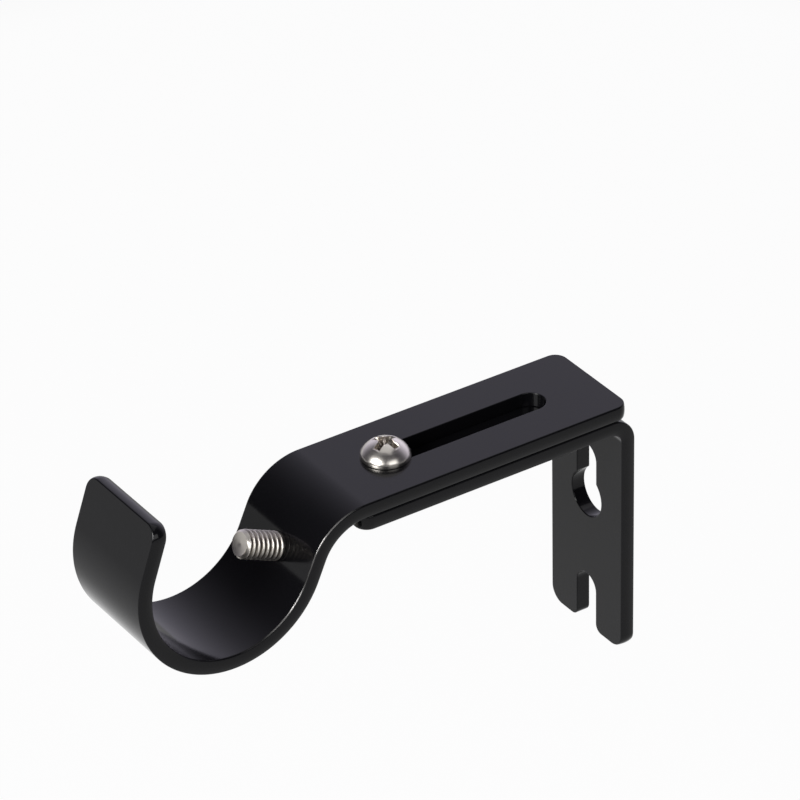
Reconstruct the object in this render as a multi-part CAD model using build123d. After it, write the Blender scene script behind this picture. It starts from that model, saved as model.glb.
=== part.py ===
from build123d import *

import os
from math import cos, radians, sin, sqrt

# Adjustable curtain pole bracket: two folded steel strips, a clamp screw and a pole screw.
# Sizes are in millimetres. +Z is up, the wall is the plane y = 0, the room lies towards -Y
# and the pole runs along X. The origin is on the wall, in the middle of the strip's width,
# midway between the seats of the two fixing screws.

# Strip that both folded pieces are cut from
strip_width = 20.0
strip_thickness = 2.6
edge_break = 0.15
end_corner_radius = 2.2

# Hook arm: a flat slotted arm, a neck that turns down, a cup for the pole and a lip
arm_setback = 1.15
arm_flat = 51.35
neck_radius = 8.5
neck_angle = 66.1
neck_straight = 3.7
cup_inner_radius = 14.7
lip_lean = 19.15
lip_length = 8.9
lip_corner_radius = 2.4
slot_width = 5.2
slot_setback = 11.3
pole_screw_rise = 1.15

# Wall plate: an upright plate with a keyhole and a notch, and a tongue under the arm
plate_height = 45.8
bend_inner_radius = 2.0
tongue_nose_radius = 0.8
foot_corner_radius = 2.8
seat_drop = 12.35
seat_width = 5.3
keyhole_drop = 19.65
keyhole_diameter = 8.24
fixing_pitch = 25.85
notch_width = 5.3
notch_corner_radius = 1.5

# Screws: one pan head pattern for the clamp screw and the pole screw
clamp_reach = 42.2
screw_diameter = 4.9
screw_length = 10.0
thread_clearance = 0.05
head_diameter = 8.3
head_height = 3.2
head_rim_height = 0.7
head_clearance = 0.1
tip_chamfer = 0.35
recess_diameter = 4.9
recess_floor_diameter = 1.6
recess_wing_width = 1.15
recess_floor_width = 0.8
recess_depth = 2.1
recess_turn = 20.0

# Height of the seam between the arm and the tongue, with the origin between the fixings
seam_height = seat_drop + fixing_pitch / 2

# Plane through the middle of the strips: x is the distance from the wall, y the height over the seam
side_plane = Plane(origin=(0, 0, seam_height), x_dir=(0, -1, 0), z_dir=(-1, 0, 0))

tapped_radius = screw_diameter / 2 + thread_clearance
bend_outer_radius = bend_inner_radius + strip_thickness
cup_outer_radius = cup_inner_radius + strip_thickness
cup_turn = neck_angle + 90 + lip_lean
slot_length = clamp_reach - slot_setback + slot_width / 2
neck_start = arm_setback + arm_flat

# Length of the cutters that go right through a strip, and the least turn of an edge that is broken
cutter_length = 6 * strip_thickness
sharp_angle = 30.0

# The tongue ends under the start of the neck, where its rounded nose clears the bend
tongue_reach = neck_start + tongue_nose_radius


def from_side(reach, height):
    """Point in the middle of the width, from its distance off the wall and height over the seam."""
    return Vector(0, -reach, seam_height + height)


def fold(outline):
    """Strip of the full width, raised to both sides of its side outline."""
    return extrude(side_plane * outline, amount=strip_width / 2, both=True)


def sharp_edges(solid):
    """Edges where two faces of a solid meet at an angle."""
    faces = solid.faces()
    sharp = ShapeList()
    for edge in solid.edges():
        middle = edge @ 0.5
        normals = [face.normal_at(middle) for face in faces if edge in face.edges()]
        if len(normals) == 2 and normals[0].get_angle(normals[1]) > sharp_angle:
            sharp.append(edge)
    return sharp


def corners_at(solid, point):
    """Edges across the thickness at the strip end nearest to a point."""
    end = solid.faces().sort_by_distance(point)[0]
    return end.edges().filter_by(Axis.X, reverse=True)


def upright_slot(width, top, bottom):
    """Cutter along Y: round at the top centre, straight sides down to the bottom."""
    middle = (top + bottom) / 2
    cutter = Pos(0, 0, top) * Cylinder(width / 2, cutter_length, rotation=(90, 0, 0))
    return cutter + Pos(0, 0, middle) * Box(width, cutter_length, top - bottom)


def end_round(start, way, radius, turn):
    """Cutter that rounds off the end of a strip which runs a given way, from a point on one face."""
    nose = JernArc(start, way, radius, turn)
    ahead = strip_thickness * way
    clear = start - strip_thickness * way.rotate(Axis.Z, turn)
    rest = Polyline(nose @ 1, nose @ 1 + ahead, clear + radius * way + ahead, clear, start)
    return extrude(side_plane * make_face((nose + rest).edges()), amount=strip_width, both=True)


def make_hook_arm():
    """Slotted arm, neck, cup and lip, folded from one strip and tapped for the pole screw."""
    flat = Line((arm_setback, 0), (neck_start, 0))
    neck = JernArc(flat @ 1, flat % 1, neck_radius, -neck_angle)
    drop = Line(neck @ 1, neck @ 1 + neck_straight * (neck % 1))
    cup = JernArc(drop @ 1, drop % 1, cup_outer_radius, cup_turn)
    lip = Line(cup @ 1, cup @ 1 + lip_length * (cup % 1))
    under = Wire([flat, neck, drop, cup, lip])
    arm = fold(make_face(under.offset_2d(strip_thickness, side=Side.LEFT).edges()))

    lip_end = lip @ 1
    arm = fillet(corners_at(arm, from_side(lip_end.X, lip_end.Y)), lip_corner_radius)
    arm = fillet(corners_at(arm, from_side(arm_setback, strip_thickness / 2)), end_corner_radius)
    slot = SlotOverall(slot_length, slot_width, rotation=90)
    slot_middle = from_side(slot_setback + slot_length / 2, 0)
    arm -= Pos(slot_middle) * extrude(slot, amount=cutter_length / 2, both=True)
    arm = chamfer(sharp_edges(arm), edge_break)
    return arm - pole_screw_place() * Cylinder(tapped_radius, cutter_length)


def make_wall_plate():
    """Upright plate with its keyhole and notch, folded into a tongue tapped for the clamp screw."""
    back = Line((0, -plate_height), (0, -bend_outer_radius))
    bend = JernArc(back @ 1, back % 1, bend_outer_radius, -90)
    top = Line(bend @ 1, (tongue_reach, 0))
    outer = Wire([back, bend, top])
    plate = fold(make_face(outer.offset_2d(strip_thickness, side=Side.RIGHT).edges()))

    nose = from_side(tongue_reach, -strip_thickness / 2)
    plate = fillet(corners_at(plate, nose), end_corner_radius)
    plate = fillet(corners_at(plate, from_side(strip_thickness / 2, -plate_height)), foot_corner_radius)
    notch_drop = seat_drop + fixing_pitch
    below = plate_height + strip_thickness
    plate -= from_seam(upright_slot(notch_width, -notch_drop, -below))
    notch_corners = plate.edges().filter_by(Axis.Y).group_by(Axis.Z)[0]
    plate = fillet(notch_corners.sort_by(lambda edge: abs(edge.center().X))[:2], notch_corner_radius)
    plate -= from_seam(upright_slot(seat_width, -seat_drop, -keyhole_drop))
    keyhole = Cylinder(keyhole_diameter / 2, cutter_length, rotation=(90, 0, 0))
    plate -= from_seam(Pos(0, 0, -keyhole_drop) * keyhole)
    plate = chamfer(sharp_edges(plate), edge_break)
    plate -= end_round(Vector(neck_start, 0), Vector(1, 0), tongue_nose_radius, -90)
    return plate - Pos(from_side(clamp_reach, 0)) * Cylinder(tapped_radius, cutter_length)


def from_seam(shape):
    """Shape placed by its height over the seam."""
    return Pos(0, 0, seam_height) * shape


def dome_radius():
    """Radius of the round that carries a screw head from its rim to its crown."""
    rise = head_height - head_rim_height
    return ((head_diameter / 2) ** 2 + rise**2) / (2 * rise)


def cross_recess():
    """Cutter for the driver: two crossed wedges that narrow from the dome to the floor."""
    mouth = Rectangle(recess_diameter, recess_wing_width)
    floor = Rectangle(recess_floor_diameter, recess_floor_width)
    fall = dome_radius() - sqrt(dome_radius() ** 2 - (recess_diameter / 2) ** 2)
    at_mouth = Pos(0, 0, head_height - fall)
    wing = loft([at_mouth * mouth, Pos(0, 0, head_height - recess_depth) * floor])
    wing += at_mouth * extrude(mouth, amount=head_height)
    return Rot(0, 0, recess_turn) * (wing + Rot(0, 0, 90) * wing)


def make_screw():
    """Pan head screw on the Z axis, its head seated on z = 0 and its tip pointing down."""
    head_radius = head_diameter / 2
    shank_radius = screw_diameter / 2
    crown = Vector(0, head_height)
    outline = [
        Line((0, -screw_length), (shank_radius - tip_chamfer, -screw_length)),
        Line((shank_radius - tip_chamfer, -screw_length), (shank_radius, tip_chamfer - screw_length)),
        Line((shank_radius, tip_chamfer - screw_length), (shank_radius, 0)),
        Line((shank_radius, 0), (head_radius, 0)),
        Line((head_radius, 0), (head_radius, head_rim_height)),
        RadiusArc((head_radius, head_rim_height), crown, -dome_radius()),
        Line(crown, (0, -screw_length)),
    ]
    screw = revolve(Plane.XZ * make_face(outline), Axis.Z)
    return screw - cross_recess()


def pole_screw_place():
    """Place of the pole screw's seat: on the neck's straight, square to it and just over the cup."""
    turn = radians(neck_angle)
    to_cup = neck_straight - pole_screw_rise
    under_bend = max(0, head_diameter / 2 - to_cup)
    inward = sqrt((neck_radius - head_clearance) ** 2 - under_bend**2)
    reach = neck_start + inward * sin(turn) + to_cup * cos(turn)
    height = inward * cos(turn) - neck_radius - to_cup * sin(turn)
    return Plane(from_side(reach, height), x_dir=(1, 0, 0), z_dir=(0, sin(turn), -cos(turn)))


screw = make_screw()
parts = {
    "hook_arm": make_hook_arm(),
    "wall_plate": make_wall_plate(),
    "clamp_screw": Pos(from_side(clamp_reach, strip_thickness)) * screw,
    "set_screw": pole_screw_place() * screw,
}

os.makedirs("parts", exist_ok=True)
for name, shape in parts.items():
    export_step(shape, f"parts/{name}.step")
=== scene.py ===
"""Adjustable curtain pole bracket: two folded strips in black paint and two bright screws.

The pieces are modelled in millimetres in the bracket's own frame. The wall is the plane y = 0,
the room lies towards -Y, the pole runs along X and +Z is up. Each finished piece is brought to
metres, rides on its body and stands for the solid of the same name.
"""

import logging
from collections.abc import Callable, Iterator
from contextlib import contextmanager
from dataclasses import dataclass, field
from enum import Enum
from math import asin, cos, pi, radians, sin, sqrt

import bmesh
import bpy
from mathutils import Matrix, Vector


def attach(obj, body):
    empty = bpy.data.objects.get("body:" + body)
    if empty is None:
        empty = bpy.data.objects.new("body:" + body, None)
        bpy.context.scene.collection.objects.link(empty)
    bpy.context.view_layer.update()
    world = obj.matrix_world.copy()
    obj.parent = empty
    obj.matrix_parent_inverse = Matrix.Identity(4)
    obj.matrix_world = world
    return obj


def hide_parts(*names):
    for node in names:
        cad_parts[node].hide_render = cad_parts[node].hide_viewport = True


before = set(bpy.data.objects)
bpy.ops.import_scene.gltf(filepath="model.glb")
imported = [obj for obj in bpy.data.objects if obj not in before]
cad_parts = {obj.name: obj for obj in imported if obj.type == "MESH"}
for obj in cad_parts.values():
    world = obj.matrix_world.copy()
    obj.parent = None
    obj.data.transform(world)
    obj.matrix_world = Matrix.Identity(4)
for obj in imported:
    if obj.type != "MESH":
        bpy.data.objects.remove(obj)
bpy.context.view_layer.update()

log = logging.getLogger("bracket")

# Metres in a millimetre
MM = 0.001

# Distances in millimetres within which points are in line, are merged or lie on a cut
CLOSE = 1e-3
MERGE = 1e-4
ON_CUT = 1e-5

# Least upright part of the normal of a face that counts as level
LEVEL = 0.9

# Point attribute that marks bare steel on the edges: a painted edge highlight where the paint's gloss
# would catch the light
EDGE_HIGHLIGHT = "edge_highlight"

# Way along the pole, across both strips
ACROSS = Vector((1, 0, 0))

Colour = tuple[float, float, float]
Element = bmesh.types.BMVert | bmesh.types.BMEdge | bmesh.types.BMFace
Socket = bpy.types.NodeSocket


class Pick(Enum):
    """What a selection in edit mode is made of."""

    POINTS = "VERT"
    EDGES = "EDGE"
    FACES = "FACE"


class Solid(Enum):
    """How one solid works on another."""

    CUT = "DIFFERENCE"
    COMMON = "INTERSECT"
    WELD = "UNION"


class Side(Enum):
    """Side of travel that a fold turns to."""

    LEFT = 1
    RIGHT = -1


def looks_up(face: Element) -> bool:
    """Whether a face is level and looks up."""
    return face.normal.z > LEVEL


def looks_down(face: Element) -> bool:
    """Whether a face is level and looks down."""
    return face.normal.z < -LEVEL


def axes_along(own_x: Vector, own_y: Vector, own_z: Vector) -> Matrix:
    """Turn that points a piece's own axes along three square directions."""
    return Matrix((own_x, own_y, own_z)).transposed().to_4x4()


def length_along(way: Vector) -> Matrix:
    """Turn that points a rod's length along a direction."""
    return way.to_track_quat("Z", "Y").to_matrix().to_4x4()


class Workpiece:
    """One mesh on the bench, in millimetres, with the hand tools that shape it."""

    def __init__(self, thing: bpy.types.Object) -> None:
        """Take hold of a mesh object."""
        self.thing = thing

    @classmethod
    def plate(cls, name: str, width: float, depth: float, place: Matrix, rows: int = 1) -> "Workpiece":
        """Start from a flat plate round a place, with a number of faces along its depth."""
        bpy.ops.mesh.primitive_grid_add(x_subdivisions=1, y_subdivisions=rows, size=1)
        return cls._started(name, place @ Matrix.Diagonal((width, depth, 1, 1)))

    @classmethod
    def rod(cls, name: str, radius: float, length: float, place: Matrix, facets: int) -> "Workpiece":
        """Start from a round rod along a place's own Z, with no corner on its X or Y."""
        bpy.ops.mesh.primitive_cylinder_add(vertices=facets, radius=radius, depth=length)
        return cls._started(name, place @ Matrix.Rotation(pi / facets, 4, "Z"))

    @classmethod
    def block(cls, name: str, size: Vector, place: Matrix) -> "Workpiece":
        """Start from a block of three sizes round a place."""
        bpy.ops.mesh.primitive_cube_add(size=1)
        return cls._started(name, place @ Matrix.Diagonal((*size, 1)))

    @classmethod
    def _started(cls, name: str, place: Matrix) -> "Workpiece":
        """Name the primitive that was just added and put it in its place.

        Args:
            name: Name of the new object and its mesh.
            place: Where the primitive goes, how it is turned and its size.

        Returns:
            The primitive, with its place in its mesh.
        """
        work = cls(bpy.context.object)
        work.thing.name = name
        work.thing.data.name = name
        work.move(place)
        return work

    def take_up(self) -> None:
        """Put everything else down and hold this piece alone."""
        bpy.ops.object.select_all(action="DESELECT")
        self.thing.select_set(True)
        bpy.context.view_layer.objects.active = self.thing

    def move(self, place: Matrix) -> None:
        """Put the piece in a place and keep that place in its mesh.

        Args:
            place: Where the piece goes, how it is turned and its size.
        """
        self.take_up()
        self.thing.matrix_world = place
        bpy.ops.object.transform_apply(location=True, rotation=True, scale=True)

    @contextmanager
    def edit(self, pick: Pick) -> Iterator[None]:
        """Open the mesh for editing with nothing selected, and close it again.

        Args:
            pick: What selections are made of.

        Yields:
            Nothing: the mesh is open until the block ends.
        """
        self.take_up()
        bpy.ops.object.mode_set(mode="EDIT")
        bpy.ops.mesh.select_mode(type=pick.value)
        bpy.ops.mesh.select_all(action="DESELECT")
        yield
        bpy.ops.object.mode_set(mode="OBJECT")

    def select(self, pick: Pick, test: Callable[[Element], bool]) -> None:
        """Select the elements of an open mesh that pass a test.

        Args:
            pick: Kind of element.
            test: Says whether an element belongs to the selection.
        """
        bpy.ops.mesh.select_mode(type=pick.value)
        bpy.ops.mesh.select_all(action="DESELECT")
        shape = bmesh.from_edit_mesh(self.thing.data)
        elements = {Pick.POINTS: shape.verts, Pick.EDGES: shape.edges, Pick.FACES: shape.faces}[pick]
        for element in elements:
            element.select_set(test(element))
        shape.select_flush_mode()
        bmesh.update_edit_mesh(self.thing.data)

    def round_corners(self, test: Callable[[Element], bool], radius: float, steps: int) -> None:
        """Round the edges that pass a test.

        Args:
            test: Says whether an edge is rounded.
            radius: Radius of the round.
            steps: Number of facets in the round.
        """
        with self.edit(Pick.EDGES):
            self.select(Pick.EDGES, test)
            bpy.ops.mesh.bevel(offset=radius, segments=steps, affect="EDGES", clamp_overlap=False)

    def close_up(self) -> None:
        """Merge points that coincide and turn all faces outwards."""
        with self.edit(Pick.FACES):
            bpy.ops.mesh.select_all(action="SELECT")
            bpy.ops.mesh.remove_doubles(threshold=MERGE)
            bpy.ops.mesh.normals_make_consistent(inside=False)

    def modify(self, kind: str, **settings: object) -> None:
        """Add a modifier, set it and apply it.

        Args:
            kind: Blender's name for the modifier.
            **settings: Values for the modifier's own settings.
        """
        self.take_up()
        modifier = self.thing.modifiers.new(kind.lower(), kind)
        for name, value in settings.items():
            setattr(modifier, name, value)
        bpy.ops.object.modifier_apply(modifier=modifier.name)

    def combine(self, way: Solid, tool: "Workpiece") -> None:
        """Work on this solid with another, which is used up."""
        self.modify("BOOLEAN", operation=way.value, solver="EXACT", object=tool.thing)
        bpy.data.objects.remove(tool.thing)

    def copy(self, name: str) -> "Workpiece":
        """Make a copy with its own mesh.

        Args:
            name: Name of the copy and its mesh.

        Returns:
            The copy, in the same place.
        """
        thing = self.thing.copy()
        thing.data = self.thing.data.copy()
        thing.name = name
        thing.data.name = name
        bpy.context.scene.collection.objects.link(thing)
        return Workpiece(thing)

    def break_edges(self, radius: float, steps: int, least_turn: float) -> None:
        """Round every edge that turns by more than an angle in degrees."""
        self.modify("BEVEL", width=radius, segments=steps, limit_method="ANGLE",
                    angle_limit=radians(least_turn), use_clamp_overlap=False)

    def smooth(self, sharpest: float) -> None:
        """Shade the piece smoothly, with flat faces kept flat.

        Args:
            sharpest: Angle in degrees over which an edge stays sharp.
        """
        self.take_up()
        bpy.ops.object.shade_smooth_by_angle(angle=radians(sharpest))
        self.modify("WEIGHTED_NORMAL", mode="FACE_AREA", weight=50, keep_sharp=True)

    def hand_over(self, node: str, finish: bpy.types.Material, slot: str) -> None:
        """Bring the piece to metres, dress it and let it stand for a solid on its body.

        Args:
            node: Name of the solid and of its body.
            finish: Material of the whole piece.
            slot: Name of the finish in the bracket's record. Not used.
        """
        self.move(Matrix.Scale(MM, 4))
        self.thing.data.materials.clear()
        self.thing.data.materials.append(finish)
        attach(self.thing, node)
        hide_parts(node)
        log.info("%s: %d faces, %s", self.thing.name, len(self.thing.data.polygons), finish.name)


class Sheet:
    """Node tree with short ways to add nodes and join them."""

    def __init__(self, tree: bpy.types.NodeTree) -> None:
        """Start from an empty tree."""
        self.tree = tree
        tree.nodes.clear()

    @classmethod
    def of_material(cls, name: str) -> tuple[bpy.types.Material, "Sheet"]:
        """Start a new material.

        Args:
            name: Name of the material.

        Returns:
            The material and its empty node tree.
        """
        material = bpy.data.materials.new(name)
        material.use_nodes = True
        return material, cls(material.node_tree)

    def add(self, kind: str, inputs: dict[str | int, object] | None = None,
            **settings: object) -> bpy.types.Node:
        """Add a node.

        Args:
            kind: Blender's class name for the node.
            inputs: Fixed values or sockets for the node's inputs, by name or place.
            **settings: Values for the node's own settings.

        Returns:
            The new node.
        """
        node = self.tree.nodes.new(kind)
        for name, value in settings.items():
            setattr(node, name, value)
        for name, value in (inputs or {}).items():
            if isinstance(value, Socket):
                self.tree.links.new(value, node.inputs[name])
            else:
                node.inputs[name].default_value = value
        return node

    def math(self, operation: str, *values: float | Socket) -> Socket:
        """Work out a value from fixed values or sockets."""
        return self.add("ShaderNodeMath", dict(enumerate(values)), operation=operation).outputs["Value"]

    def vector(self, operation: str, *values: Vector | Socket) -> bpy.types.NodeOutputs:
        """Work out a vector or a value from fixed vectors or sockets."""
        return self.add("ShaderNodeVectorMath", dict(enumerate(values)), operation=operation).outputs

    def between(self, value: Socket, low: float, high: float, first: float = 0.0, last: float = 1.0,
                **settings: object) -> Socket:
        """Bring a value from one range, first to last, into another, low to high."""
        inputs = {"Value": value, "From Min": first, "From Max": last, "To Min": low, "To Max": high}
        return self.add("ShaderNodeMapRange", inputs, **settings).outputs["Result"]

    def noise(self, place: Socket, scale: float | Socket, detail: float,
              roughness: float = 0.5) -> Socket:
        """Give a place a noise from 0 to 1."""
        inputs = {"Vector": place, "Scale": scale, "Detail": detail, "Roughness": roughness}
        return self.add("ShaderNodeTexNoise", inputs).outputs["Fac"]

    def bump(self, height: Socket, strength: float, relief: float) -> Socket:
        """Turn a height from 0 to 1 into the normals of a relief in millimetres."""
        inputs = {"Height": height, "Strength": strength, "Distance": relief * MM}
        return self.add("ShaderNodeBump", inputs).outputs["Normal"]

    def coat(self, inputs: dict[str | int, object]) -> None:
        """End a material in one coat with the given values or sockets."""
        skin = self.add("ShaderNodeBsdfPrincipled", inputs)
        self.add("ShaderNodeOutputMaterial", {"Surface": skin.outputs["BSDF"]})

    def blend(self, share: Socket, first: Colour | Socket, second: Colour | Socket) -> Socket:
        """Blend two colours by a value.

        Args:
            share: Socket that gives the second colour's share.
            first: Colour at 0.
            second: Colour at 1.

        Returns:
            The socket that gives the colour.
        """
        inputs = {"Factor": share}
        for name, colour in (("A", first), ("B", second)):
            inputs[name] = colour if isinstance(colour, Socket) else (*colour, 1)
        return self.add("ShaderNodeMix", inputs, data_type="RGBA").outputs["Result"]


@dataclass(frozen=True)
class SurfaceLife:
    """Node group for what a plain surface shows close up: fine grain, soft clouds and sparse specks."""

    name: str = "surface_life"
    grain: tuple[float, float] = (3.0, 0.55)
    clouds: tuple[float, float] = (4.0, 0.6)
    specks: tuple[float, float] = (0.04, 0.12)

    def group(self) -> bpy.types.NodeTree:
        """Make or find the group.

        Returns:
            A group that turns a place into grain, clouds and specks, each from 0 to 1.
        """
        if self.name in bpy.data.node_groups:
            return bpy.data.node_groups[self.name]
        group = bpy.data.node_groups.new(self.name, "ShaderNodeTree")
        group.interface.new_socket("Place", in_out="INPUT", socket_type="NodeSocketVector")
        for size in ("Grain Scale", "Cloud Scale", "Speck Scale"):
            group.interface.new_socket(size, in_out="INPUT", socket_type="NodeSocketFloat")
        for result in ("Grain", "Clouds", "Specks"):
            group.interface.new_socket(result, in_out="OUTPUT", socket_type="NodeSocketFloat")
        sheet = Sheet(group)
        given = sheet.add("NodeGroupInput").outputs
        place = given["Place"]
        cells = sheet.add("ShaderNodeTexVoronoi", {"Vector": place, "Scale": given["Speck Scale"]})
        sheet.add("NodeGroupOutput", {
            "Grain": sheet.noise(place, given["Grain Scale"], *self.grain),
            "Clouds": sheet.noise(place, given["Cloud Scale"], *self.clouds),
            "Specks": sheet.between(cells.outputs["Distance"], 1.0, 0.0, *self.specks),
        })
        return group


@dataclass(frozen=True)
class SurfaceScales:
    """How fine a finish is: repeats per metre of its grain, its clouds and its specks."""

    grain: float
    clouds: float
    specks: float

    def lay(self, sheet: Sheet, place: Socket) -> bpy.types.NodeOutputs:
        """Put the surface's close-up effects into a material.

        Args:
            sheet: The material's nodes.
            place: Socket that gives the place on the piece.

        Returns:
            The sockets that give the grain, the clouds and the specks.
        """
        inputs = {"Place": place, "Grain Scale": self.grain, "Cloud Scale": self.clouds,
                  "Speck Scale": self.specks}
        return sheet.add("ShaderNodeGroup", inputs, node_tree=SurfaceLife().group()).outputs


@dataclass(frozen=True)
class BlackPaint:
    """Stoved black paint on sheet steel: smooth, half glossy, with a faint orange peel and a few nibs."""

    name: str = "stoved_black"
    slot: str = "black_paint"
    deep: Colour = (0.0028, 0.0028, 0.0034)
    dusty: Colour = (0.0050, 0.0049, 0.0058)
    roughness: tuple[float, float] = (0.10, 0.17)
    specular: float = 0.3
    peel_height: float = 0.012
    peel_strength: float = 0.25
    nib_height: float = 0.7
    # Bare steel shown on the marked edges: a painted edge highlight
    bare_highlight: Colour = (0.62, 0.60, 0.58)
    bare_highlight_share: tuple[float, float] = (0.3, 0.7)
    scales: SurfaceScales = SurfaceScales(grain=900.0, clouds=70.0, specks=170.0)

    def material(self) -> bpy.types.Material:
        """Make the paint, which shows bare steel where a piece is marked, as a painted edge highlight.

        Returns:
            The new material.
        """
        paint, sheet = Sheet.of_material(self.name)
        life = self.scales.lay(sheet, sheet.add("ShaderNodeTexCoord").outputs["Object"])
        # Bare steel blended in where marked: a painted highlight on the edges
        edge_highlight_mask = sheet.add("ShaderNodeAttribute", attribute_name=EDGE_HIGHLIGHT).outputs["Fac"]
        nibs = sheet.math("MULTIPLY_ADD", life["Specks"], self.nib_height, life["Grain"])
        height = sheet.math("MULTIPLY", nibs, sheet.math("SUBTRACT", 1.0, edge_highlight_mask))
        bare_highlight = sheet.math("MULTIPLY", edge_highlight_mask, sheet.between(life["Clouds"], *self.bare_highlight_share))
        colour = sheet.blend(life["Clouds"], self.deep, self.dusty)
        sheet.coat({
            "Base Color": sheet.blend(bare_highlight, colour, self.bare_highlight),
            "Metallic": bare_highlight,
            "Roughness": sheet.between(life["Clouds"], *self.roughness),
            "Specular IOR Level": self.specular,
            "Normal": sheet.bump(height, self.peel_strength, self.peel_height),
        })
        return paint


@dataclass
class Stock:
    """Steel strip that both folded pieces are made from, and where the two are clamped together."""

    width: float = 20.0
    thickness: float = 2.6
    crown: float = 0.25
    crown_out: float = 0.8
    crown_rows: int = 6
    edge_radius: float = 0.18
    edge_steps: int = 3
    sharp_turn: float = 30.0
    smooth_turn: float = 35.0
    corner_steps: int = 10
    fold_step: float = 2.0
    facets: int = 96
    drill: float = 20.0
    seam: float = 25.275
    end_corner: float = 2.2
    clamp_reach: float = 42.2

    def at(self, reach: float, height: float) -> Vector:
        """Point in the middle of the width, from its distance off the wall and height over the seam."""
        return Vector((0, -reach, self.seam + height))

    def crown_steps(self) -> list[tuple[float, float]]:
        """Rows of a cut side: place in the thickness, from -1 to 1, and distance out of the true side."""
        shares = (2 * row / self.crown_rows - 1 for row in range(self.crown_rows + 1))
        return [(share, self.crown * (self.crown_out - share**2)) for share in shares]

    def slot_cutter(self, radius: float, start: Vector, axis: Vector, run: Vector) -> Workpiece:
        """Make a cutter for a slot with round ends.

        Args:
            radius: Radius of the ends.
            start: Middle of the first end.
            axis: Direction that the cutter goes through the strip.
            run: From the middle of the first end to the middle of the last.

        Returns:
            The cutter: a rod whose far half is drawn out along the run.
        """
        place = Matrix.Translation(start) @ length_along(axis)
        to_corner = radius / cos(pi / self.facets)
        cutter = Workpiece.rod("cutter", to_corner, self.drill, place, self.facets)
        if run.length > 0:
            with cutter.edit(Pick.POINTS):
                cutter.select(Pick.POINTS, lambda point: (point.co - start).dot(run) > 0)
                bpy.ops.transform.translate(value=run)
        return cutter

    def end_cutter(self, start: Vector, ahead: Vector, inward: Vector, radius: float) -> Workpiece:
        """Make a cutter that rounds off one long edge of a strip's end.

        Args:
            start: Point in the middle of the width, on the face where the round begins.
            ahead: Way that the strip runs out at its end.
            inward: Way from that face into the strip.
            radius: Radius of the round.

        Returns:
            The cutter: a block with a bar's round taken out of its corner.
        """
        square = radius + self.thickness
        middle = start + ahead * square / 2 + inward * (radius - self.thickness) / 2
        turn = axes_along(ACROSS, ahead, ACROSS.cross(ahead))
        size = Vector((2 * self.width, square, square))
        cutter = Workpiece.block("cutter", size, Matrix.Translation(middle) @ turn)
        bar = Matrix.Translation(start + inward * radius) @ length_along(ACROSS)
        cutter.combine(Solid.CUT, Workpiece.rod("bar", radius, 3 * self.width, bar, self.facets))
        return cutter

    def finish(self, strip: Workpiece, hole: Matrix, diameter: float) -> None:
        """Break a strip's edges, drill its tapped hole and smooth it.

        Args:
            strip: The folded strip with its openings cut.
            hole: Middle of the hole, with its Z along the hole.
            diameter: Diameter of the hole.
        """
        strip.break_edges(self.edge_radius, self.edge_steps, self.sharp_turn)
        drill = Workpiece.rod("cutter", diameter / 2, self.drill / 2, hole, self.facets)
        strip.combine(Solid.CUT, drill)
        strip.smooth(self.smooth_turn)


@dataclass(frozen=True)
class End:
    """End face of a strip: its middle and the way out of it."""

    middle: Vector
    ahead: Vector

    def crown(self, strip: Workpiece, stock: Stock, upright: Vector) -> None:
        """Crown the end face a little, as the strip's sides are.

        Args:
            strip: The folded strip.
            stock: Its stock.
            upright: Direction through the strip's thickness.
        """
        with strip.edit(Pick.POINTS):
            for share, out in stock.crown_steps():
                level = self.middle + upright * share * stock.thickness / 2

                def in_row(point: Element) -> bool:
                    """Whether a point belongs to one row of the end face."""
                    offset = point.co - level
                    return abs(offset.dot(self.ahead)) < CLOSE and abs(offset.dot(upright)) < CLOSE

                strip.select(Pick.POINTS, in_row)
                bpy.ops.transform.translate(value=self.ahead * out)

    def corner_test(self, stock: Stock) -> Callable[[Element], bool]:
        """Make the test for the edges that go through the thickness at the end's two corners.

        Args:
            stock: The strip.

        Returns:
            A test of one edge.
        """
        def at_corner(edge: Element) -> bool:
            """Whether an edge lies in the end face, at one of the strip's sides.

            Args:
                edge: Edge of the open mesh.

            Returns:
                True if both its points do.
            """
            first, last = (point.co - self.middle for point in edge.verts)
            in_end = max(abs(first.dot(self.ahead)), abs(last.dot(self.ahead))) < stock.crown
            at_side = min(abs(first.x), abs(last.x)) > stock.width / 2 - 2 * stock.crown
            return in_end and at_side and first.x * last.x > 0 and first.length < stock.width

        return at_corner


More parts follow.
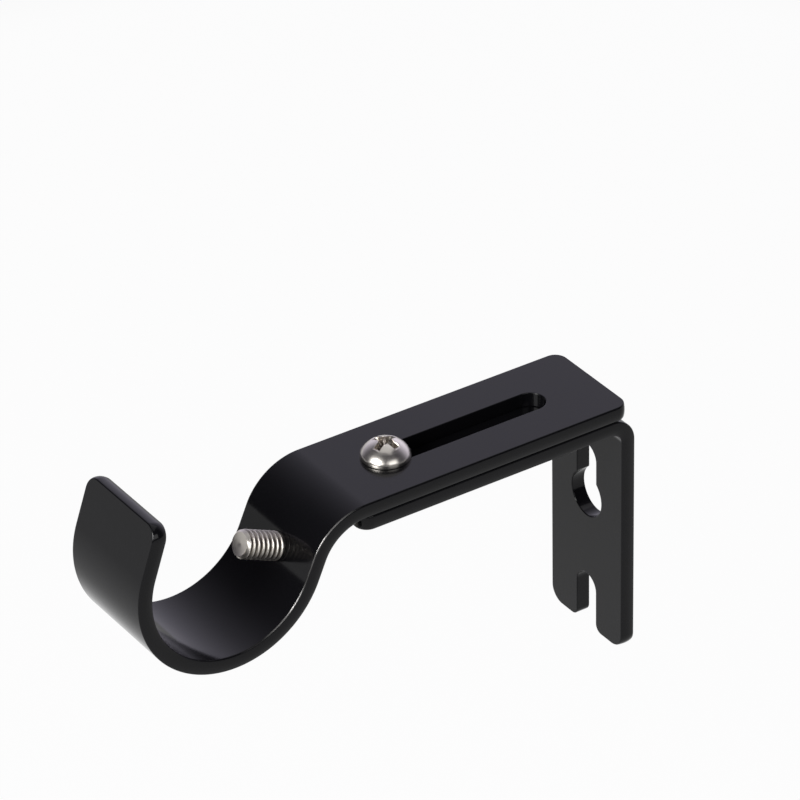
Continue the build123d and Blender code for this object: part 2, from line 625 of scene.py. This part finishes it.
class Fold:
    """A strip as it is folded: an end face that is pushed on and turned, step by step."""

    def __init__(self, name: str, stock: Stock, reach: float, height: float, heading: float) -> None:
        """Lay down the first end of a strip, with its two sides a little crowned about the true width.

        Args:
            name: Name of the new piece.
            stock: The strip.
            reach: Distance of the strip's right-hand face from the wall, at the start.
            height: Height of that face over the seam, at the start.
            heading: Direction of travel in degrees, from straight off the wall towards up.
        """
        self.stock = stock
        self.reach = reach
        self.height = height
        self.heading = radians(heading)
        left = self.leftward()
        middle = self.end_middle()
        place = Matrix.Translation(middle) @ axes_along(ACROSS, left, ACROSS.cross(left))
        self.work = Workpiece.plate(name, stock.width, stock.thickness, place, stock.crown_rows)
        with self.work.edit(Pick.POINTS):
            for share, out in stock.crown_steps():
                row = middle + left * share * stock.thickness / 2
                self.work.select(Pick.POINTS, lambda point: abs((point.co - row).dot(left)) < CLOSE)
                bulge = 1 + 2 * out / stock.width
                bpy.ops.transform.resize(value=(bulge, 1, 1), center_override=middle)

    def forward(self) -> Vector:
        """Direction of travel."""
        return Vector((0, -cos(self.heading), sin(self.heading)))

    def leftward(self) -> Vector:
        """Direction to the left of travel, through the strip's thickness."""
        return Vector((0, sin(self.heading), cos(self.heading)))

    def right_face(self) -> Vector:
        """Point in the middle of the width, on the right-hand face at the end."""
        return self.stock.at(self.reach, self.height)

    def end_middle(self) -> Vector:
        """Middle of the end face."""
        return self.right_face() + self.leftward() * self.stock.thickness / 2

    def take_end(self) -> None:
        """Select the end face of the open mesh."""
        middle = self.end_middle()
        ahead = self.forward()

        def at_end(face: Element) -> bool:
            """Whether a face is part of the end."""
            offset = face.calc_center_median() - middle
            return abs(offset.dot(ahead)) < CLOSE and offset.length < self.stock.thickness / 2

        self.work.select(Pick.FACES, at_end)

    def run(self, length: float) -> None:
        """Push the strip straight on.

        Args:
            length: How far it goes.
        """
        with self.work.edit(Pick.FACES):
            self.take_end()
            bpy.ops.mesh.extrude_region_move(TRANSFORM_OT_translate={"value": self.forward() * length})
        self.reach += cos(self.heading) * length
        self.height += sin(self.heading) * length

    def turn(self, side: Side, radius: float, angle: float) -> None:
        """Fold the strip round a bar.

        Args:
            side: Side of travel that the strip turns to.
            radius: Radius of the strip's right-hand face.
            angle: Angle of the fold in degrees.
        """
        centre = self.right_face() + self.leftward() * radius * side.value
        steps = max(2, round(angle / self.stock.fold_step))
        with self.work.edit(Pick.FACES):
            self.take_end()
            bpy.ops.mesh.spin(steps=steps, angle=radians(angle), center=centre, axis=(side.value, 0, 0))
        to_bar = Vector((-sin(self.heading), cos(self.heading))) * side.value * radius
        swing = Matrix.Rotation(radians(angle) * side.value, 2)
        landed = to_bar - swing @ to_bar
        self.reach += landed.x
        self.height += landed.y
        self.heading += radians(angle) * side.value


@dataclass
class PanHeadScrew:
    """Pan head screw with a cross recess and a full thread, its head seated on z = 0."""

    diameter: float = 4.9
    length: float = 10.0
    pitch: float = 0.94
    root_diameter: float = 3.74
    root_flat: float = 0.12
    crest_flat: float = 0.16
    crest_ease: tuple[float, float] = (0.05, 0.06)
    tip_chamfer: float = 0.5
    tip_dish: float = 0.22
    tip_groove: float = 0.03
    mark_radius: float = 0.5
    mark_depth: float = 0.14
    mark_floor: float = 0.125
    blank_spare: float = 0.15
    head_diameter: float = 8.3
    head_height: float = 3.2
    rim_height: float = 0.7
    recess_diameter: float = 4.9
    recess_floor: float = 1.6
    wing_width: float = 1.15
    wing_floor: float = 0.8
    recess_depth: float = 2.1
    recess_turn: float = 20.0
    pit_diameter: float = 2.3
    pit_floor: float = 1.1
    edge_radius: float = 0.13
    edge_steps: int = 3
    sharp_turn: float = 40.0
    smooth_turn: float = 42.0
    facets: int = 96
    dome_steps: int = 14
    dish_steps: int = 6
    thread_steps: int = 56
    spare_turns: int = 4
    thread_clearance: float = 0.05

    def tapped_diameter(self) -> float:
        """Diameter of the plain holes that stand for tapped ones."""
        return self.diameter + 2 * self.thread_clearance

    def dome_radius(self) -> float:
        """Radius of the round that carries the head from its rim to its crown."""
        rise = self.head_height - self.rim_height
        return ((self.head_diameter / 2) ** 2 + rise**2) / (2 * rise)

    def dome_middle(self) -> float:
        """Height of the middle of that round."""
        return self.head_height - self.dome_radius()

    def build(self) -> Workpiece:
        """Make the screw.

        Returns:
            The finished mesh, in millimetres, on the Z axis.
        """
        screw = self.head()
        screw.combine(Solid.WELD, self.shank())
        screw.smooth(self.smooth_turn)
        return screw

    def head(self) -> Workpiece:
        """Make the head: a rim drawn up ring by ring into a dome, with the recess cut in.

        Returns:
            The head.
        """
        radius = self.head_diameter / 2
        dome = self.dome_radius()
        middle = Matrix.Translation((0, 0, self.rim_height / 2))
        head = Workpiece.rod("screw", radius, self.rim_height, middle, self.facets)
        widest = asin(radius / dome)
        top = self.rim_height
        with head.edit(Pick.FACES):
            head.select(Pick.FACES, looks_up)
            for step in range(1, self.dome_steps):
                angle = widest * (1 - step / self.dome_steps)
                lift = self.dome_middle() + dome * cos(angle) - top
                share = dome * sin(angle) / radius
                draw_up(lift, share)
                top += lift
                radius *= share
        head.combine(Solid.CUT, self.recess())
        head.break_edges(self.edge_radius, self.edge_steps, self.sharp_turn)
        return head

    def recess(self) -> Workpiece:
        """Make the cutter for the driver: a tapered pit with two crossed pairs of tapered wings.

        Returns:
            The cutter, which runs out over the head.
        """
        mouth = self.dome_middle() + sqrt(self.dome_radius() ** 2 - (self.recess_diameter / 2) ** 2)
        floor = self.head_height - self.recess_depth
        middle = Matrix.Translation((0, 0, (mouth + floor) / 2))
        pit = Workpiece.rod("pit", self.pit_diameter / 2, mouth - floor, middle, self.facets)
        narrow = self.pit_floor / self.pit_diameter
        self.taper(pit, floor, narrow, narrow)
        size = Vector((self.recess_diameter, self.wing_width, mouth - floor))
        along = self.recess_floor / self.recess_diameter
        across = self.wing_floor / self.wing_width
        for turn in (0, 90):
            wing = Workpiece.block("wing", size, middle)
            self.taper(wing, floor, along, across)
            wing.move(Matrix.Rotation(radians(self.recess_turn + turn), 4, "Z"))
            pit.combine(Solid.WELD, wing)
        return pit

    def taper(self, cutter: Workpiece, floor: float, along: float, across: float) -> None:
        """Draw a cutter out over the head and narrow its lower end.

        Args:
            cutter: Upright cutter.
            floor: Height of its lower end.
            along: Share of its size along X that is left at the lower end.
            across: Share of its size along Y that is left there.
        """
        with cutter.edit(Pick.FACES):
            cutter.select(Pick.FACES, looks_up)
            draw_up(self.head_height, 1)
            cutter.select(Pick.FACES, looks_down)
            bpy.ops.transform.resize(value=(along, across, 1), center_override=(0, 0, floor))

    def shank(self) -> Workpiece:
        """Make the threaded shank.

        Returns:
            The thread, cut off inside the head and shaped by a blank with a turned tip.
        """
        thread = self.thread()
        thread.combine(Solid.COMMON, self.blank())
        return thread

    def thread(self) -> Workpiece:
        """Wind the thread from the line of one pitch.

        Returns:
            A closed solid that runs past the tip and into the head.
        """
        root = self.root_diameter / 2
        ease, ease_run = self.crest_ease
        depth = self.diameter / 2 - root - ease
        flank = (self.pitch - self.root_flat - self.crest_flat) / 2 - ease_run
        rising = ((0, self.root_flat), (depth, flank), (ease, ease_run))
        falling = ((0, self.crest_flat), (-ease, ease_run), (-depth, flank))
        thread = Workpiece.plate("thread", 1, 1, Matrix.Identity(4))
        with thread.edit(Pick.POINTS):
            bpy.ops.mesh.select_all(action="SELECT")
            bpy.ops.mesh.merge(type="CENTER")
            bpy.ops.transform.translate(value=(root, 0, -self.length - self.spare_turns / 2 * self.pitch))
            for out, up in rising + falling:
                bpy.ops.mesh.extrude_vertices_move(TRANSFORM_OT_translate={"value": (out, 0, up)})
        turns = round(self.length / self.pitch) + self.spare_turns
        thread.modify("SCREW", axis="Z", angle=2 * pi, screw_offset=self.pitch, iterations=turns,
                      steps=self.thread_steps, render_steps=self.thread_steps)
        inside_head = Vector((0, 0, self.rim_height / 2))
        past_tip = Vector((0, 0, -self.length - self.pitch / 2))
        with thread.edit(Pick.FACES):
            bpy.ops.mesh.select_all(action="SELECT")
            bpy.ops.mesh.remove_doubles(threshold=MERGE)
            for cut, away in ((inside_head, 1), (past_tip, -1)):
                bpy.ops.mesh.select_all(action="SELECT")
                bpy.ops.mesh.bisect(plane_co=cut, plane_no=(0, 0, away), use_fill=True,
                                    clear_outer=True, threshold=ON_CUT)
        thread.close_up()
        return thread

    def blank(self) -> Workpiece:
        """Turn the blank that the thread is left on, its tip chamfered, dished, grooved and marked.

        Returns:
            The blank.
        """
        radius = self.diameter / 2 + self.blank_spare
        chamfer = self.tip_chamfer + self.blank_spare
        length = self.length - chamfer + self.head_height / 2
        middle = Matrix.Translation((0, 0, self.head_height / 2 - length / 2))
        blank = Workpiece.rod("blank", radius, length, middle, self.facets)
        tip = radius - chamfer
        with blank.edit(Pick.FACES):
            blank.select(Pick.FACES, looks_down)
            draw_up(-chamfer, tip / radius)
            width = tip
            for step in range(1, self.dish_steps + 1):
                narrower = tip + (self.mark_radius - tip) * step / self.dish_steps
                groove = self.tip_groove if step % 2 else -self.tip_groove
                draw_up(self.tip_dish * (width**2 - narrower**2) / tip**2 + groove, narrower / width)
                width = narrower
            draw_up(self.mark_depth, self.mark_floor / self.mark_radius)
        return blank


def draw_up(lift: float, share: float) -> None:
    """Draw the selected faces of an open mesh up along Z and narrow them to a share of their width."""
    bpy.ops.mesh.extrude_region_move(TRANSFORM_OT_translate={"value": (0, 0, lift)})
    bpy.ops.transform.resize(value=(share, share, 1), center_override=(0, 0, 0))


@dataclass(frozen=True)
class BrightSteel:
    """Bright screw steel, turned round the screw's axis, with painted shade in the thread roots and in
    the recess.
    """

    name: str
    place: Matrix
    screw: PanHeadScrew
    slot: str = "bright_screw"
    bright: Colour = (0.91, 0.865, 0.80)
    dull: Colour = (0.75, 0.703, 0.64)
    # Dark colour of the painted shade in the thread roots and the recess, with some grime
    shade_grime: Colour = (0.14, 0.108, 0.085)
    roughness: tuple[float, float] = (0.20, 0.30)
    rougher_thread: float = 0.13
    ring_scale: float = 5200.0
    ring_detail: float = 2.0
    ring_strength: float = 0.12
    ring_height: float = 0.004
    cloud_share: float = 0.45
    shaded_depth: tuple[float, float] = (0.25, 1.3)
    shaded_share: tuple[float, float] = (0.1, 0.6)
    deepest_shade: float = 0.95
    deepest_thread_shade: float = 0.95
    patch_scale: float = 1900.0
    patch_detail: float = 1.0
    patch_range: tuple[float, float] = (0.40, 0.56)
    scales: SurfaceScales = SurfaceScales(grain=2600.0, clouds=420.0, specks=900.0)

    def material(self) -> bpy.types.Material:
        """Make the steel.

        Returns:
            The new material.
        """
        steel, sheet = Sheet.of_material(self.name)
        mapped = sheet.add("ShaderNodeMapping", {
            "Vector": sheet.add("ShaderNodeTexCoord").outputs["Object"],
            "Location": self.place.translation * MM,
            "Rotation": self.place.to_euler(),
        }, vector_type="TEXTURE")
        place = mapped.outputs["Vector"]
        apart = sheet.add("ShaderNodeSeparateXYZ", {"Vector": place}).outputs
        flat = sheet.add("ShaderNodeCombineXYZ", {"X": apart["X"], "Y": apart["Y"]})
        radius, height = sheet.vector("LENGTH", flat.outputs["Vector"])["Value"], apart["Z"]
        rings = sheet.add("ShaderNodeTexNoise", {"W": radius, "Scale": self.ring_scale,
                                                 "Detail": self.ring_detail}, noise_dimensions="1D")
        rings = rings.outputs["Fac"]
        clouds = self.scales.lay(sheet, place)["Clouds"]
        mixed = sheet.add("ShaderNodeMix", {"Factor": self.cloud_share, "A": rings, "B": clouds})
        polish = mixed.outputs["Result"]
        on_shank = sheet.math("LESS_THAN", height, 0.0)
        # Painted shade in the thread roots and the recess
        painted_shade = sheet.math("MAXIMUM", self.thread_root_shade(sheet, radius, height, on_shank),
                          self.recess_shade_and_dirt(sheet, place, height))
        colour = sheet.blend(painted_shade, sheet.blend(polish, self.dull, self.bright), self.shade_grime)
        smooth = sheet.between(polish, *self.roughness)
        sheet.coat({
            "Base Color": colour,
            "Metallic": 1.0,
            "Roughness": sheet.math("MULTIPLY_ADD", on_shank, self.rougher_thread, smooth),
            "Normal": sheet.bump(rings, self.ring_strength, self.ring_height),
        })
        return steel

    def thread_root_shade(self, sheet: Sheet, radius: Socket, height: Socket, on_shank: Socket) -> Socket:
        """Paint shade into the thread's roots, but not onto the turned tip.

        Args:
            sheet: The material's nodes.
            radius: Socket that gives the distance from the axis.
            height: Socket that gives the height over the head's seat.
            on_shank: Socket that is 1 under the head and 0 on it.

        Returns:
            The socket that gives the share of painted shade.
        """
        root, crest = self.screw.root_diameter / 2 * MM, self.screw.diameter / 2 * MM
        tip = (self.screw.tip_dish + self.screw.mark_depth - self.screw.length) * MM
        dark, clean = (root + share * (crest - root) for share in self.shaded_share)
        valley = sheet.between(radius, self.deepest_thread_shade, 0.0, dark, clean)
        threaded = sheet.math("MULTIPLY", sheet.math("GREATER_THAN", height, tip), on_shank)
        return sheet.math("MULTIPLY", threaded, valley)

    def recess_shade_and_dirt(self, sheet: Sheet, place: Socket, height: Socket) -> Socket:
        """Paint shade into the recess, deeper with its depth under the dome, broken into dirt-like
        patches.

        Args:
            sheet: The material's nodes.
            place: Socket that gives the place in the screw's own frame.
            height: Socket that gives the height over the head's seat.

        Returns:
            The socket that gives the share of painted shade and dirt.
        """
        dome = self.screw.dome_radius() * MM
        shallow, deep = (depth * MM for depth in self.shaded_depth)
        middle = Vector((0, 0, self.screw.dome_middle() * MM))
        away = sheet.vector("DISTANCE", place, middle)["Value"]
        depth = sheet.between(away, 0.0, self.deepest_shade, dome - shallow, dome - deep)
        clouds = sheet.noise(place, self.patch_scale, self.patch_detail)
        patches = sheet.between(clouds, 0.0, 1.0, *self.patch_range)
        over_rim = sheet.math("GREATER_THAN", height, self.screw.rim_height * MM)
        return sheet.math("MULTIPLY", depth, sheet.math("MULTIPLY", over_rim, patches))


@dataclass
class HookArm:
    """Slotted arm, neck, cup for the pole and lip, folded from one strip."""

    stock: Stock
    screw: PanHeadScrew
    setback: float = 1.15
    flat: float = 51.35
    neck_radius: float = 8.5
    neck_angle: float = 66.1
    neck_straight: float = 3.7
    cup_radius: float = 14.7
    lip_lean: float = 19.15
    lip_length: float = 8.9
    lip_corner: float = 2.4
    slot_width: float = 5.2
    slot_setback: float = 11.3
    screw_rise: float = 1.15
    head_clearance: float = 0.1
    # Where the painted edge highlight of bare steel lies and how far it reaches
    highlight_turn: float = 45.0
    highlight_reach: float = 6.5
    highlight_slopes: tuple[float, float] = (0.3, 0.75)

    def build(self) -> Workpiece:
        """Fold the arm, round its ends, cut its slot, break its edges and drill its hole.

        Returns:
            The finished mesh, in millimetres.
        """
        stock = self.stock
        fold = Fold("hook_strip", stock, self.setback, 0, 0)
        wall_end = End(fold.end_middle(), -fold.forward())
        fold.run(self.flat)
        fold.turn(Side.RIGHT, self.neck_radius, self.neck_angle)
        fold.run(self.neck_straight)
        cup_turn = self.neck_angle + 90 + self.lip_lean
        cup_middle = fold.right_face() + fold.leftward() * (self.cup_radius + stock.thickness)
        fold.turn(Side.LEFT, self.cup_radius + stock.thickness, cup_turn)
        fold.run(self.lip_length)
        lip_end = End(fold.end_middle(), fold.forward())
        arm = fold.work
        arm.close_up()
        lip_end.crown(arm, stock, fold.leftward())
        arm.round_corners(wall_end.corner_test(stock), stock.end_corner, stock.corner_steps)
        arm.round_corners(lip_end.corner_test(stock), self.lip_corner, stock.corner_steps)
        radius = self.slot_width / 2
        start = stock.at(self.slot_setback + radius, 0)
        run = stock.at(stock.clamp_reach, 0) - start
        arm.combine(Solid.CUT, stock.slot_cutter(radius, start, Vector((0, 0, 1)), run))
        stock.finish(arm, self.screw_place(), self.screw.tapped_diameter())
        # Spots on the neck and in the cup where the painted edge highlight is strongest
        turn = radians(self.highlight_turn)
        on_neck = stock.at(self.setback + self.flat, -self.neck_radius)
        on_neck += Vector((0, -sin(turn), cos(turn))) * (self.neck_radius + stock.thickness)
        in_cup = cup_middle + Vector((0, sin(turn), -cos(turn))) * self.cup_radius
        self.paint_edge_highlight(arm, (on_neck, in_cup))
        return arm

    def paint_edge_highlight(self, arm: Workpiece, spots: tuple[Vector, ...]) -> None:
        """Mark bare steel on the upper edges of the strip, on the neck and in the cup, as a painted edge
        highlight.

        Args:
            arm: The finished arm.
            spots: Points in the middle of the strip's upper face that the painted highlight is strongest
                at.
        """
        edge_highlight = arm.thing.data.attributes.new(EDGE_HIGHLIGHT, "FLOAT", "POINT")
        slight, steep = self.highlight_slopes
        up_and_out = Vector((0, -1, 1))
        for point, share in zip(arm.thing.data.vertices, edge_highlight.data):
            at_side = abs(point.co.x) > (self.stock.width - self.stock.thickness) / 2
            upper = point.normal.dot(up_and_out) > 0
            if at_side and upper and slight < abs(point.normal.x) < steep:
                away = min((point.co - spot).yz.length for spot in spots)
                share.value = max(0.0, 1 - away / self.highlight_reach)

    def screw_place(self) -> Matrix:
        """Find the seat of the pole screw: on the neck's straight, square to it and just over the cup.

        Returns:
            The place, with its Z along the screw towards its head.
        """
        turn = radians(self.neck_angle)
        to_cup = self.neck_straight - self.screw_rise
        under_bend = max(0, self.screw.head_diameter / 2 - to_cup)
        inward = sqrt((self.neck_radius - self.head_clearance) ** 2 - under_bend**2)
        reach = self.setback + self.flat + inward * sin(turn) + to_cup * cos(turn)
        height = inward * cos(turn) - self.neck_radius - to_cup * sin(turn)
        headward = Vector((0, sin(turn), -cos(turn)))
        square = axes_along(ACROSS, headward.cross(ACROSS), headward)
        return Matrix.Translation(self.stock.at(reach, height)) @ square


@dataclass
class WallPlate:
    """Upright plate with a keyhole and a notch, folded into a tongue under the arm."""

    stock: Stock
    screw: PanHeadScrew
    height: float = 45.8
    bend_radius: float = 2.0
    tongue_reach: float = 53.3
    nose_radius: float = 0.8
    foot_corner: float = 2.8
    seat_drop: float = 12.35
    seat_width: float = 5.3
    keyhole_drop: float = 19.65
    keyhole_diameter: float = 8.24
    fixing_pitch: float = 25.85
    notch_width: float = 5.3
    notch_corner: float = 1.5

    def build(self) -> Workpiece:
        """Fold the plate, round its ends, cut its openings, break its edges and drill its hole.

        Returns:
            The finished mesh, in millimetres.
        """
        stock = self.stock
        bend = self.bend_radius + stock.thickness
        fold = Fold("wall_plate_strip", stock, stock.thickness, -self.height, 90)
        foot = End(fold.end_middle(), -fold.forward())
        fold.run(self.height - bend)
        fold.turn(Side.RIGHT, self.bend_radius, 90)
        fold.run(self.tongue_reach - bend)
        nose = End(fold.end_middle(), fold.forward())
        plate = fold.work
        plate.close_up()
        plate.round_corners(foot.corner_test(stock), self.foot_corner, stock.corner_steps)
        plate.round_corners(nose.corner_test(stock), stock.end_corner, stock.corner_steps)
        self.cut_openings(plate)
        start = stock.at(self.tongue_reach - self.nose_radius, 0)
        rounding = stock.end_cutter(start, nose.ahead, -fold.leftward(), self.nose_radius)
        plate.combine(Solid.CUT, rounding)
        hole = Matrix.Translation(stock.at(stock.clamp_reach, 0))
        stock.finish(plate, hole, self.screw.tapped_diameter())
        return plate

    def cut_openings(self, plate: Workpiece) -> None:
        """Cut the keyhole and the notch, and round the notch's mouth.

        Args:
            plate: The folded plate.
        """
        stock = self.stock
        down = Vector((0, 0, -1))
        half_notch = self.notch_width / 2
        openings = (
            (self.seat_width / 2, self.seat_drop, self.keyhole_drop - self.seat_drop),
            (self.keyhole_diameter / 2, self.keyhole_drop, 0),
            (half_notch, self.seat_drop + self.fixing_pitch, self.height),
        )
        for radius, drop, run in openings:
            cutter = stock.slot_cutter(radius, stock.at(0, -drop), Vector((0, 1, 0)), down * run)
            plate.combine(Solid.CUT, cutter)
        foot = stock.seam - self.height

        def at_mouth(edge: Element) -> bool:
            """Whether an edge is a corner of the notch's mouth.

            Args:
                edge: Edge of the open mesh.

            Returns:
                True if both its points are there.
            """
            first, last = (point.co for point in edge.verts)
            at_foot = max(first.z, last.z) < foot + CLOSE
            off_notch = max(abs(abs(first.x) - half_notch), abs(abs(last.x) - half_notch))
            return at_foot and off_notch < CLOSE and first.x * last.x > 0

        plate.round_corners(at_mouth, self.notch_corner, stock.corner_steps)


@dataclass(frozen=True)
class Softbox:
    """Rectangular studio lamp that looks at the bracket."""

    name: str
    bearing: float
    lift: float
    distance: float
    size: tuple[float, float]
    level: float

    def hang(self, aim: Vector) -> None:
        """Put the lamp up.

        Args:
            aim: Point that the lamp looks at, and that its bearing and lift are taken from.
        """
        bearing, lift = radians(self.bearing), radians(self.lift)
        away = Vector((cos(lift) * cos(bearing), cos(lift) * sin(bearing), sin(lift)))
        width, height = self.size
        lamp = bpy.data.lights.new(self.name, "AREA")
        lamp.shape = "RECTANGLE"
        lamp.size, lamp.size_y = width, height
        lamp.energy = self.level * pi * width * height
        hung = bpy.data.objects.new(self.name, lamp)
        hung.location = aim + away * self.distance
        hung.rotation_euler = away.to_track_quat("Z", "Y").to_euler()
        bpy.context.scene.collection.objects.link(hung)


@dataclass
class Studio:
    """Pale floor, soft light from the wall side and from both sides of the camera, and the camera."""

    aim: Vector = field(default_factory=lambda: Vector((0, -0.039189, 0.037408)))
    eye: Vector = field(default_factory=lambda: Vector((0.579626, -0.418789, 0.472725)))
    roll: float = -1.27811
    lens: float = 230.752
    sensor: float = 36.0
    near_limit: float = 0.01
    floor_height: float = -0.25
    floor_size: float = 40.0
    floor_white: float = 0.94
    # Painted pool of light on the floor: the grey glow beyond it, its middle and its reach
    glow_outside_pool: float = 0.55
    light_pool_middle: Vector = field(default_factory=lambda: Vector((-0.38, 0.21, 0)))
    light_pool_reach: tuple[float, float] = (0.235, 0.46)
    glow_share: float = 0.95
    lamps: tuple[Softbox, ...] = (
        Softbox("ceiling_softbox", 135.0, 80.0, 1.3, (1.2, 1.2), 0.5),
        Softbox("room_softbox", -77.0, 27.0, 1.2, (1.3, 0.6), 1.3),
        Softbox("room_key_lamp", -77.0, 25.0, 1.15, (0.5, 0.5), 13.0),
        Softbox("side_softbox", 0.0, 25.0, 1.2, (0.8, 0.6), 1.5),
    )
    dome_bright: Vector = field(default_factory=lambda: Vector((-0.7071, 0.7071, 0)))
    dome_tint: Colour = (0.965, 0.93, 1.105)
    dome: tuple[tuple[float, float], ...] = (
        (-1.0, 0.04), (0.0, 0.05), (0.19, 0.08), (0.34, 0.17), (0.51, 0.35), (0.68, 0.54), (0.83, 0.80),
        (1.0, 0.95),
    )

    def set_up(self) -> None:
        """Build the whole studio."""
        self.lay_floor()
        self.light_dome()
        for lamp in self.lamps:
            lamp.hang(self.aim)
        self.place_camera()
        bpy.context.scene.view_settings.view_transform = "Standard"
        log.info("studio: floor, dome and %d lamps", len(self.lamps))

    def lay_floor(self) -> None:
        """Lay the floor: white to the eye and in reflections, with the bracket's shadow kept."""
        bpy.ops.object.select_all(action="DESELECT")
        bpy.ops.mesh.primitive_plane_add(size=self.floor_size, location=(0, 0, self.floor_height))
        floor = bpy.context.object
        floor.name = "studio_floor"
        bpy.ops.object.transform_apply(location=True, rotation=True, scale=True)
        paper, sheet = Sheet.of_material("white_paper")
        path = sheet.add("ShaderNodeLightPath").outputs
        seen = sheet.math("MAXIMUM", path["Is Camera Ray"], path["Is Glossy Ray"])
        seen = sheet.math("MAXIMUM", seen, path["Is Transmission Ray"])
        share = sheet.math("MULTIPLY", seen, self.glow_share)
        matt = sheet.add("ShaderNodeBsdfDiffuse", {"Color": (*(self.floor_white,) * 3, 1)})
        # The glow carries the painted pool of light
        glow = sheet.add("ShaderNodeEmission", {"Color": self.light_pool(sheet), "Strength": 1.0})
        mixed = sheet.add("ShaderNodeMixShader", {0: share, 1: matt.outputs["BSDF"],
                                                  2: glow.outputs["Emission"]})
        sheet.add("ShaderNodeOutputMaterial", {"Surface": mixed.outputs["Shader"]})
        floor.data.materials.append(paper)

    def light_pool(self, sheet: Sheet) -> Socket:
        """Paint a pool of light into the floor's glow behind the bracket, fading to a pale grey glow
        further off.

        Args:
            sheet: The floor's nodes.

        Returns:
            The socket that gives the floor's colour.
        """
        place = sheet.add("ShaderNodeTexCoord").outputs["Object"]
        flat = sheet.vector("MULTIPLY", place, Vector((1, 1, 0)))["Vector"]
        away = sheet.vector("DISTANCE", flat, self.light_pool_middle)["Value"]
        fade = sheet.between(away, 0.0, 1.0, *self.light_pool_reach, interpolation_type="SMOOTHSTEP")
        return sheet.blend(fade, (1.0,) * 3, (self.glow_outside_pool,) * 3)

    def light_dome(self) -> None:
        """Light the sky from behind and to the left of the bracket, fading towards the room."""
        world = bpy.data.worlds.new("studio_dome")
        world.use_nodes = True
        bpy.context.scene.world = world
        sheet = Sheet(world.node_tree)
        way = sheet.add("ShaderNodeTexCoord").outputs["Generated"]
        towards = sheet.vector("DOT_PRODUCT", way, self.dome_bright)["Value"]
        ramp = sheet.add("ShaderNodeValToRGB", {"Fac": sheet.between(towards, 0.0, 1.0, -1.0, 1.0)})
        ramp.color_ramp.interpolation = "B_SPLINE"
        stops = ramp.color_ramp.elements
        while len(stops) < len(self.dome):
            stops.new(0.5)
        for stop, (share, level) in zip(stops, self.dome):
            stop.position = (share + 1) / 2
            stop.color = (*(level * part for part in self.dome_tint), 1)
        sky = sheet.add("ShaderNodeBackground", {"Color": ramp.outputs["Color"], "Strength": 1.0})
        sheet.add("ShaderNodeOutputWorld", {"Surface": sky.outputs["Background"]})

    def place_camera(self) -> None:
        """Stand the camera where the picture was taken from."""
        forward = (self.aim - self.eye).normalized()
        level = forward.cross(Vector((0, 0, 1))).normalized()
        upright = level.cross(forward)
        roll = radians(self.roll)
        right = level * cos(roll) + upright * sin(roll)
        up = upright * cos(roll) - level * sin(roll)
        lens = bpy.data.cameras.new("camera")
        lens.lens = self.lens
        lens.sensor_width = self.sensor
        lens.clip_start = self.near_limit
        camera = bpy.data.objects.new("camera", lens)
        camera.matrix_world = Matrix.Translation(self.eye) @ axes_along(right, up, -forward)
        bpy.context.scene.collection.objects.link(camera)
        bpy.context.scene.camera = camera


def main() -> None:
    """Build the bracket piece by piece and set up the studio round it."""
    logging.basicConfig(level=logging.INFO, format="%(message)s")
    bpy.ops.object.select_all(action="DESELECT")
    stock = Stock()
    pattern = PanHeadScrew()
    arm = HookArm(stock, pattern)
    plate = WallPlate(stock, pattern)
    paint = BlackPaint()
    black = paint.material()
    arm.build().hand_over("hook_arm", black, paint.slot)
    plate.build().hand_over("wall_plate", black, paint.slot)
    screw = pattern.build()
    clamp_place = Matrix.Translation(stock.at(stock.clamp_reach, stock.thickness))
    for node, place in (("clamp_screw", clamp_place), ("set_screw", arm.screw_place())):
        steel = BrightSteel(node + "_steel", place, pattern)
        one = screw.copy(node + "_turned")
        one.move(place)
        one.hand_over(node, steel.material(), steel.slot)
    bpy.data.objects.remove(screw.thing)
    Studio().set_up()


if __name__ == "__main__":
    main()
